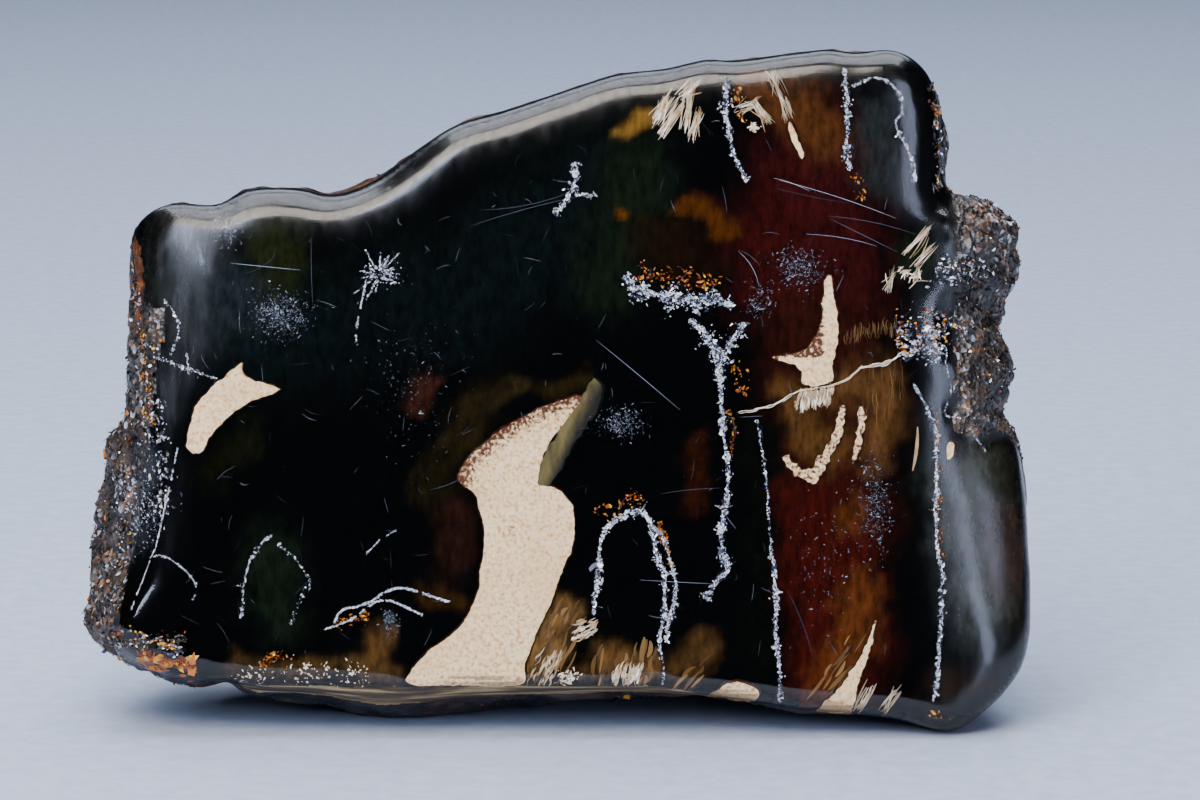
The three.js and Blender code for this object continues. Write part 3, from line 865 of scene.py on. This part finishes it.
slim[used] = np.arange(len(used))
points = to_frame(np.concatenate([flat, flat + (0, 0, VEIL_THICK)]))[used] * MM
colours = np.concatenate([veil_colour_and_painted_light(flat[:, 0], flat[:, 1])] * 2)[used]
mesh = bpy.data.meshes.new("colour_clouds")
mesh.from_pydata(points.tolist(), [], [[int(slim[k]) for k in face] for face in faces])
mesh.color_attributes.new("tint", "FLOAT_COLOR", "POINT").data.foreach_set("color", colours.ravel())
mesh.polygons.foreach_set("use_smooth", np.ones(len(faces), dtype=bool))
mesh.materials.append(murk_and_painted_light)
veil = bpy.data.objects.new("colour_clouds", mesh)
bpy.context.collection.objects.link(veil)
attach(veil, "root")
print("veil:", len(faces), "faces")

# %% Olive slab and orange edge


def haze(name, size, *stops, stretch=(1, 1, 1)):
    """A dull cloud that frays and runs out to black where its mesh number does."""
    material, tree, shader = finish(name, Roughness=0.6)
    colour = ramp(tree, speckle(tree, size, stretch=stretch), *stops)
    fray = speckle(tree, size * 1.7, detail=6, stretch=stretch)
    fade = add(tree, "ShaderNodeMath", {0: mark(tree, "stain_and_painted_light"), 1: fray}, operation="SUBTRACT")
    amount = rescale(tree, fade.outputs["Value"], -0.22, 0.45)
    tree.links.new(blend(tree, amount, linear("#010101"), colour), shader.inputs["Base Color"])
    return material


slab = haze("olive slab", 0.8, (0.38, "#4a4526"), (0.62, "#8c8250"), stretch=(1, 1, 0.3))
flame = haze("orange edge", 1.2, (0.36, "#5a2408"), (0.64, "#b5641c"))
SLAB = [
    (0.03, [(3.6, 36.1), (4.2, 34.2), (2.9, 31.7), (1.5, 29.8), (0.2, 27.5), (-0.6, 26), (-1.4, 24.8),
            (-1.9, 24.5), (-2.2, 25.6), (-2, 27.5), (-1.2, 29.4), (0.5, 31.9), (2.1, 34.4)])]
ORANGE = [
    (0.0, [(-43.1, 50), (-42.5, 50), (-41.9, 46), (-42.2, 41.5), (-42.8, 41.6), (-42.7, 46)])]


def past_cream(u, v):
    """1 along the slab's pale edge beside the cream, running out to its right."""
    return float(np.clip(1.15 - (u - 0.49 * (v - 25.6) + 2.2) / 1.7, 0, 1.15))


plate = Pile("olive_slab", slab, "pale_inclusion")
for depth, outline in SLAB:
    cloud(plate, outline, -depth, TIGHT, ragged=0.3, gap=0.3, grid=0.5, stain_and_painted_light=past_cream, side=0.0)
plate.make()
edge = Pile("orange_edge", flame, "pale_inclusion")
for depth, outline in ORANGE:
    cloud(edge, outline, -depth, TIGHT, ragged=0.3, gap=0.3, grid=0.6, fading=True)
edge.make()

# %% [markdown]
# ## Ivory fibres
#
# Beside the cream the resin holds fine pale fibres, in brush strokes and in
# feathers. Those at the surface look white, and those a little way down golden.

# %% Ivory fibres
NORTH = math.pi / 2
fibres = Pile("ivory_fibres", ivory, "pale_inclusion")
STROKES = [
    ((9.4, 62.1), (10.6, 64.6), 0.5), ((10.1, 60.5), (12.2, 63.7), 0.45), ((12.2, 64.4), (13.6, 65.7), 0.4),
    ((12.5, 61), (13.1, 65.3), 0.35), ((13.1, 60.5), (13.8, 63), 0.4), ((9.8, 61.6), (11.6, 64.4), 0.25),
    ((17.9, 63.1), (19.5, 63.8), 0.35), ((19.5, 63.8), (21, 61.8), 0.35), ((21.1, 67), (22.2, 64.4), 0.2),
    ((22.2, 64.4), (23, 62), 0.25), ((34.7, 48.6), (36.8, 51.2), 0.3), ((35.6, 47.4), (37.2, 49.5), 0.3),
    ((34.3, 46.7), (34.8, 47), 0.5), ((35.5, 46.2), (36.2, 46.8), 0.5), ((32.6, 45.1), (33.3, 47), 0.25),
    ((31.2, 5.1), (29.9, 2.6), 0.35), ((33.5, 4.9), (32.5, 2.8), 0.3)]
for start, end, width in STROKES:
    for _ in range(14):
        aside = chance.normal(0, width * 0.4, 2)
        begin = start + aside + chance.normal(0, 0.3, 2)
        fibre(fibres, begin, end + aside + chance.normal(0, 0.3, 2), width * chance.uniform(0.1, 0.4),
              (-0.015, chance.uniform(-0.015, 0.35)), chance.normal(0, 0.08))
fibre(fibres, (35.8, 31.3), (35.3, 26.9), 0.35, (0.25, 0.4), 0.15)
BRUSHES = [
    ((-3.2, 5.7), (3.6, 0), (2.6, 8), 34, (1, 3.4), (0.15, 0.5), (0.12, 0.36), 1.1),
    ((3.2, 5.6), (6, 0), (0.5, 3.6), 30, (0.8, 2.6), (0.15, 0.5), (0.12, 0.36), 1.35),
    ((10.6, 5.6), (4, 0), (2, 2.8), 8, (0.8, 2.2), (0.12, 0.4), (0.15, 0.36), 0.8),
    ((28.4, 39.9), (5.3, 0.9), (0.4, 1.1), 90, (0.6, 1.5), (0.02, 0.06), (0.2, 0.36), NORTH),
    ((30.4, 32), (4, 1), (0.2, 5), 36, (1, 3), (0.02, 0.06), (0.2, 0.36), NORTH),
    ((24.6, 4), (3, 0.4), (3.4, 6), 12, (1, 3.5), (0.12, 0.4), (0.15, 0.36), 0.95)]
CRUMBS = [
    ((-3.2, 5.7), (2.4, 0), (1.2, 3), 50, (0.4, 1.6), (0.05, 0.2), (-0.01, 0.1), 1.1),
    ((1.2, 10), (2, 0), (0.5, 2), 60, (0.3, 1), (0.05, 0.2), (-0.01, 0.1), 0.5),
    ((5, 5.7), (2.8, 0), (0.5, 1.6), 80, (0.4, 1.3), (0.06, 0.25), (-0.01, 0.1), 1.3),
    ((23.4, 33), (3.6, 0.6), (0.6, 1.8), 200, (0.3, 1.1), (0.06, 0.2), (-0.02, 0.2), 1.5)]
gold = Pile("golden_fibres", golden, "pale_inclusion")
for row in BRUSHES:
    brush(gold, *row)
gold.make()
for row in CRUMBS:
    brush(fibres, *row)
VEIN = [(17.9, 32.8), (21.4, 33.5), (23.8, 34.9), (27.1, 35.4), (29, 36.3), (29.9, 37.1), (32.1, 37.5),
        (34.2, 38.7)]
vein = curve(VEIN, 0.8, closed=False)
for start, end in zip(vein[:-1], vein[1:]):
    for _ in range(3):
        aside = chance.normal(0, 0.06, 2)
        fibre(fibres, start + aside, end + aside + (end - start) * 0.3, chance.uniform(0.03, 0.1),
              (-0.015, -0.015), chance.normal(0, 0.06))
LOOSE_CRUMBS = [
    ((-25, 6.6), (3.2, 1.4), 60), ((-21, 6.6), (2.4, 1.4), 45), ((-30.5, 6.5), (3, 1.1), 45),
    ((19.4, 61.4), (0.6, 0.5), 40), ((0.8, 6.3), (1.2, 0.8), 60)]
for spot, reach, count in LOOSE_CRUMBS:
    scatter([fibres], spot, reach, count, 0.09, 0.15, 0.0, (1, 3))
fibres.make()

# %% [markdown]
# ## Cracks
#
# Old cracks in the resin glitter silver, and hold ochre crystals where iron got
# in. Each crack is a line of small shards, every one tilted its own way, so some
# catch the light and others stay dark. The shards' colours are painted light as
# well: near-white ones are painted glints, near-black ones painted shade.

# %% Cracks
painted_glint_cracks = Pile("silver_cracks_painted_glints", silver, "pale_inclusion")
crystals = Pile("ochre_crystals", ochre, "pale_inclusion")
CRACKS = [
    (0.55, 22, 0.17, [(16.7, 66.2), (16.6, 63), (17.1, 60), (17.4, 58.6)]),
    (0.30, 20, 0.16, [(17.3, 59.2), (17.9, 57.4), (18.8, 56)]),
    (0.45, 17, 0.15, [(28.5, 67.2), (28.8, 63), (28.6, 59), (29, 57.1)]),
    (0.30, 15, 0.14, [(29.4, 65.5), (31.5, 66.3), (33.2, 65.7), (34.1, 64.4), (34.2, 62.8), (33.6, 61.7),
                      (34.5, 59.8), (35.3, 57.9), (35.5, 55.9)]),
    (1.30, 36, 0.17, [(6.6, 46.4), (8, 45), (10, 44.5), (13, 44), (15.5, 44), (17.2, 43.6)]),
    (0.90, 30, 0.17, [(13, 42), (14.5, 40.6), (15.8, 38.5), (16, 36)]),
    (0.70, 22, 0.16, [(18.4, 41.6), (17.4, 40), (16.2, 38.6)]),
    (0.45, 24, 0.16, [(16, 37), (16.2, 32), (16.8, 26), (16.1, 20), (16.7, 17), (15.4, 15.6), (14.8, 14)]),
    (0.25, 7, 0.12, [(19.7, 32), (20.5, 27), (20.9, 22), (21.2, 18)]),
    (0.28, 20, 0.15, [(21.4, 18), (21.6, 14.4), (21.6, 10.5), (22, 6.7), (22, 3.8)]),
    (0.40, 24, 0.16, [(3.3, 12.7), (3.8, 16.1), (4, 19.2), (4.7, 21.2), (6.2, 22.4), (7.4, 22.9),
                      (8.6, 22.4), (9.2, 21.2), (9.6, 18.8), (10.3, 16.6), (10.5, 13.4), (10.1, 11),
                      (9.9, 9.1)]),
    (0.30, 24, 0.15, [(9.6, 21.2), (10.5, 19.7), (11.5, 16.1), (11.5, 13.9), (10.8, 11.5), (10.5, 9.8)]),
    (0.30, 7, 0.13, [(10, 9), (10.4, 7), (10.2, 5.6)]),
    (0.22, 26, 0.14, [(-22.6, 11.8), (-21.8, 13), (-20.4, 13.3), (-18.8, 13.9), (-17.8, 14.6), (-16, 15.2),
                      (-13.6, 14.6), (-11.2, 13.8)]),
    (0.20, 22, 0.13, [(-23.6, 11), (-21, 12), (-19.6, 13), (-18.4, 13.8), (-17, 13.9), (-15.5, 13.3),
                      (-13.8, 12.5)]),
    (0.20, 10, 0.13, [(-19.4, 46), (-20, 43), (-20.4, 41), (-20.3, 39.5)]),
    (0.60, 18, 0.16, [(1.5, 57.7), (1.6, 56.2), (0.8, 54.4), (-0.4, 52.6)]),
    (0.50, 10, 0.14, [(1, 55), (2.4, 54.4), (3.6, 54.6)]),
    (0.14, 16, 0.12, [(-38.3, 29.3), (-39.2, 25), (-40.5, 19.5), (-41, 18.3), (-43, 13)]),
    (0.20, 10, 0.12, [(-41, 18.3), (-39.6, 18.3), (-37.4, 16.8), (-36.4, 15.2), (-36.8, 14)]),
    (0.25, 10, 0.13, [(-28.9, 20.4), (-30.7, 18.6), (-31.6, 15.7), (-31.9, 12.3)]),
    (0.30, 5, 0.11, [(-28.3, 19.4), (-26.5, 18.1), (-25, 15.7), (-25.7, 14.7), (-27, 11.5)]),
    (0.32, 15, 0.15, [(35.4, 35.6), (36.6, 33.4), (37.6, 31), (37.7, 26.5), (37.7, 20), (38.3, 16),
                      (38.1, 12),
                      (37.8, 6), (37.3, 4)]),
    (0.18, 9, 0.12, [(38.6, 38), (39.2, 35), (38.6, 32.6), (40.5, 32), (41.8, 30.2), (43, 28.6)]),
    (0.25, 9, 0.13, [(-41, 38.4), (-39, 37.8), (-37.3, 37.1), (-34.5, 36.2)]),
    (0.20, 9, 0.13, [(-37.4, 38.8), (-37.2, 36.6)]),
    (0.25, 9, 0.13, [(-39.7, 44), (-38.6, 42.6), (-38.2, 41), (-39, 38.6)]),
    (0.15, 9, 0.12, [(-16.4, 21), (-18, 20), (-19.4, 18.6)])]
for width, per_mm, size, path in CRACKS:
    if width < 0.25:
        tinsel([painted_glint_cracks], path, width * 0.6, per_mm * 3, size * 0.4, 0.3, stray=0.4, tone=(0.2, 1.0))
    else:
        crack(painted_glint_cracks, path, width * 1.15, per_mm * 4.2, size * 0.36)
for angle in chance.uniform(0, 6.28, 26):
    middle = np.array([-18.1, 46.6])
    way = np.array([math.cos(angle), math.sin(angle)])
    tinsel([painted_glint_cracks], [middle + way * 0.5, middle + way * chance.uniform(1.0, 2.6) + chance.normal(0, 0.4, 2)],
           0.08, 14, 0.07, stray=0.3)
scatter([painted_glint_cracks], (-17.6, 46.6), (2, 1.6), 160, 0.05)
OCHRE = [
    (0.9, 8, 0.2, [(17.8, 65.6), (18, 63), (18.4, 61.4)]),
    (1.6, 12, 0.22, [(7.6, 47.2), (10, 46), (13, 46.4), (15.6, 45)]),
    (0.8, 12, 0.2, [(29.6, 56.6), (30.2, 55.2), (30, 54)]),
    (0.8, 12, 0.2, [(3.9, 23.4), (4.6, 22.6), (5.6, 23), (7.4, 24.6), (8.2, 23.6)]),
    (0.4, 16, 0.2, [(9.8, 22), (10.6, 19.4), (11.3, 17.6)]),
    (0.4, 7, 0.16, [(16.8, 33), (17.4, 31), (16.9, 28)]),
    (1.0, 9, 0.2, [(17.4, 37.6), (18.4, 36), (18, 34.6)]),
    (0.5, 6, 0.16, [(37.8, 33), (37.9, 26), (38, 18)]),
    (0.7, 10, 0.2, [(-30, 7.2), (-28.4, 8.6), (-27, 7.4)]),
    (0.8, 12, 0.2, [(-22.6, 11.4), (-20.6, 12), (-19, 12.4)]),
    (0.8, 10, 0.2, [(37, 3), (38.2, 2.6), (38.6, 1.8)])]
for width, per_mm, size, path in OCHRE:
    tinsel([crystals], path, width, per_mm * 1.8, size * 0.45, tilt=0.7, tone=(0.0, 0.9))
painted_glint_cracks.make()
crystals.make()

# %% [markdown]
# ## Crust grains
#
# The knob, the left end and a few patches of the back are covered with grains of
# crust. Thousands of shards are strewn on the crust's own faces and stand out a
# little: black, grey and ochre ones in turn. The grey ones carry the cracks'
# painted glints.

# %% Crust grains
areas = np.empty(len(skin.polygons))
skin.polygons.foreach_get("area", areas)
facing = read(skin.polygons, "normal")
middle = read(skin.polygons, "center") / MM
u, v, w = to_window(middle).T
grey_grains_with_glints = Pile("grey_grains", silver, "crust")
warm_grains = Pile("ochre_grains", ochre, "crust")
dark_grains = Pile("black_grains", soot, "crust")


def strew(where, count, size, turns, lift=0.03):
    """Grains on the faces where a mask is true, from the piles in turn."""
    weight = areas * where
    for k, face in enumerate(chance.choice(len(areas), count, p=weight / weight.sum())):
        point, normal = Vector(middle[face]), Vector(facing[face])
        point += Vector(chance.normal(0, 0.08, 3))
        along = normal.cross(Vector(chance.normal(0, 1, 3)))
        grain = size * chance.lognormal(0, 0.45)
        shard(turns[k % len(turns)], point, normal, grain, along, chance.uniform(1, 2),
              0.35, lift)


above = middle[:, 2] > 0.7
knob = covered & (u > 38.5) & (v > 29) & (v < 56)
end = covered & (u < -38) & (v < 45) & above
rest = covered & ~knob & ~end & above & (w > 7)
G, O, B = grey_grains_with_glints, warm_grains, dark_grains
strew(knob, 3400, 0.14, (G, B, B, B, O, B, B))
strew(end, 2800, 0.14, (G, B, B, B, O, G, B))
strew(rest & (kind == 1), 1500, 0.16, (B, G, B, O, B))
tinsel([G, G, B], [(37.8, 47.4), (39.5, 46.6), (41.5, 47), (42.5, 48)], 2.2, 80, 0.12)
tinsel([G, B, G, O], [(33.6, 40.2), (36, 40.6), (38.5, 41), (40, 42.5)], 2.6, 80, 0.12)
tinsel([G, B, G], [(34.4, 38.8), (37, 39.4), (39, 39)], 1.4, 50, 0.12)
tinsel([B, G, O, B], [(37.6, 66), (38, 62), (38.2, 58), (38, 55)], 0.7, 34, 0.14)
tinsel([O, G, B, O], [(-43, 48), (-42.6, 44), (-42.2, 41), (-41.6, 36), (-40.8, 31)], 0.6, 24, 0.13)
tinsel([G, B, G], [(-41.4, 34), (-40.6, 30), (-39.8, 26), (-40.6, 21)], 1.8, 40, 0.1)
scatter([G], (-42.6, 23.4), (2.6, 4.5), 900, 0.06)
tinsel([B, O, G, B], [(-46, 10.4), (-43, 9.8), (-40, 9.6), (-37.6, 9.4)], 1.4, 44, 0.14)
tinsel([O], [(-42, 8), (-40.6, 7.6), (-38.4, 7.4), (-36.6, 7.2)], 1.2, 12, 0.4, tilt=0.2)
for pile in (G, O, B):
    pile.make()

# %% [markdown]
# ## Wear on the polish
#
# The polish has long scratches from handling and cloudy spots of fine scuffs.
# They stand a hundredth of a millimetre proud, which is enough to catch light.

# %% Scratches and frost
wear = Pile("scratches", scuff, "pale_inclusion")
PROUD = (-0.008, -0.008)
LONG_SCRATCHES = [
    ((21.4, 56.2), (25, 54.9)), ((21.9, 56), (33.6, 52.2)), ((21.6, 55.2), (28.9, 53.7)),
    ((24.6, 50.6), (31.7, 49.4)),
    ((26.9, 52.4), (35.6, 50.6)), ((27.1, 52.1), (33.8, 48.8)), ((-24.9, 50.3), (-24.7, 43.1)),
    ((-33, 47.7), (-26, 47)), ((-32, 46.6), (-28.6, 48.4)), ((-9, 51.4), (3, 54.6)), ((-8, 53), (1.6, 55)),
    ((16.2, 55.4), (16.7, 52.7)), ((17.8, 48.9), (19.9, 45.4)), ((17.9, 49), (20, 47.4)),
    ((3.6, 40), (12, 33)),
    ((-13, 25), (-9.4, 26.4)), ((10, 24.6), (16, 25.2)), ((8, 16), (15.4, 15.6)), ((22.7, 15), (25.4, 8))]
for start, end in LONG_SCRATCHES:
    fibre(wear, start, end, 0.035, PROUD, chance.normal(0, 0.25))
for _ in range(260):
    spot = chance.uniform((-38, 8), (36, 62))
    turn = chance.normal(NORTH, 0.9)
    run = chance.uniform(0.4, 2.4) * np.array([math.cos(turn), math.sin(turn)])
    if on_window(*spot) and on_window(*(spot + run)):
        fibre(wear, spot, spot + run, chance.uniform(0.008, 0.02), PROUD, chance.normal(0, 0.1))
FROST = [
    ((-28, 42.5), (3.2, 2.6), 420), ((6, 31.6), (2.4, 2), 160), ((24, 47.2), (3, 2.2), 220),
    ((31.5, 23.5), (2, 5.5), 240), ((-17, 11.8), (0.9, 1.6), 90), ((-33.6, 51.6), (1.8, 2.4), 200),
    ((20, 44), (2, 2), 80), ((-15, 36), (6, 8), 90), ((27, 18), (4, 8), 90)]
for spot, reach, count in FROST:
    scatter([wear], spot, reach, 2 * count, 0.03, 0.2, 0.004, (1, 6))
wear.make()

# %% [markdown]
# ## Stage, light and camera
#
# The lump stands on a wide pale floor. Nothing bright stands where the window
# mirrors it, so the window stays dark and deep. A soft box above the camera lights
# the cream, and one overhead draws the band along the top edge.

# %% Floor
paper, tree, shader = finish("pale paper", Roughness=0.7)
tree.links.new(ramp(tree, speckle(tree, 1.2), (0.3, "#98a4b8"), (0.7, "#a8b3c5")),
               shader.inputs["Base Color"])
FLOOR_RADIUS, FLOOR_SIDES = 3000.0, 96
turns = np.linspace(0, 2 * np.pi, FLOOR_SIDES, endpoint=False)
points = [(FLOOR_RADIUS * MM * math.cos(a), FLOOR_RADIUS * MM * math.sin(a), 0.0) for a in turns]
faces = [list(range(FLOOR_SIDES))]
mesh = bpy.data.meshes.new("floor")
mesh.from_pydata(points, [], faces)
mesh.materials.append(paper)
floor = bpy.data.objects.new("floor", mesh)
bpy.context.collection.objects.link(floor)
floor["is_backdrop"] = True

# %% Lights


def softbox(name, place, aim, size, watts, tint="#ffffff"):
    """A soft rectangular light, placed and aimed in mm."""
    data = bpy.data.lights.new(name, "AREA")
    data.shape = "RECTANGLE"
    data.size, data.size_y = size[0] * MM, size[1] * MM
    data.energy = watts
    data.color = linear(tint)[:3]
    light = bpy.data.objects.new(name, data)
    light.location = Vector(place) * MM
    light.rotation_euler = (Vector(aim) - Vector(place)).to_track_quat("-Z", "Y").to_euler()
    bpy.context.collection.objects.link(light)


world = bpy.data.worlds.new("dim room")
world.use_nodes = True
world.node_tree.nodes["Background"].inputs["Color"].default_value = linear("#8fa3c4")
world.node_tree.nodes["Background"].inputs["Strength"].default_value = 0.07
bpy.context.scene.world = world
softbox("key", (-120, -330, 480), (0, 0, 30), (420, 300), 4.6, "#fff6ec")
softbox("overhead", (0, 60, 620), (0, 0, 40), (700, 420), 6.2, "#eef3ff")
softbox("right_fill", (330, -470, 150), (20, 0, 30), (240, 420), 1.8, "#cfdcff")
softbox("left_fill", (-260, -470, 330), (-20, 0, 30), (200, 240), 2.2, "#d6e2ff")
softbox("backdrop", (0, 650, 700), (0, 620, 0), (1100, 500), 7.0, "#e4ecff")

# %% Camera
CAMERA_FAR, AIM_U, AIM_V = 450.0, 4.0, 34.0
aim = Vector(to_frame([[AIM_U, AIM_V, 0.0]])[0])
data = bpy.data.cameras.new("camera")
data.sensor_width, data.lens = 36.0, 135.0
data.clip_start, data.clip_end = 0.01, 10.0
camera = bpy.data.objects.new("camera", data)
camera.location = (aim - INTO * CAMERA_FAR) * MM
camera.rotation_euler = INTO.to_track_quat("-Z", "Y").to_euler()
bpy.context.collection.objects.link(camera)
bpy.context.scene.camera = camera
print("camera at", [round(c / MM, 1) for c in camera.location])

# %% Size
size = {"cad": [list(map(float, c)) for c in cad_box],
        "visual": [list(map(float, c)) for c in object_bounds()]}
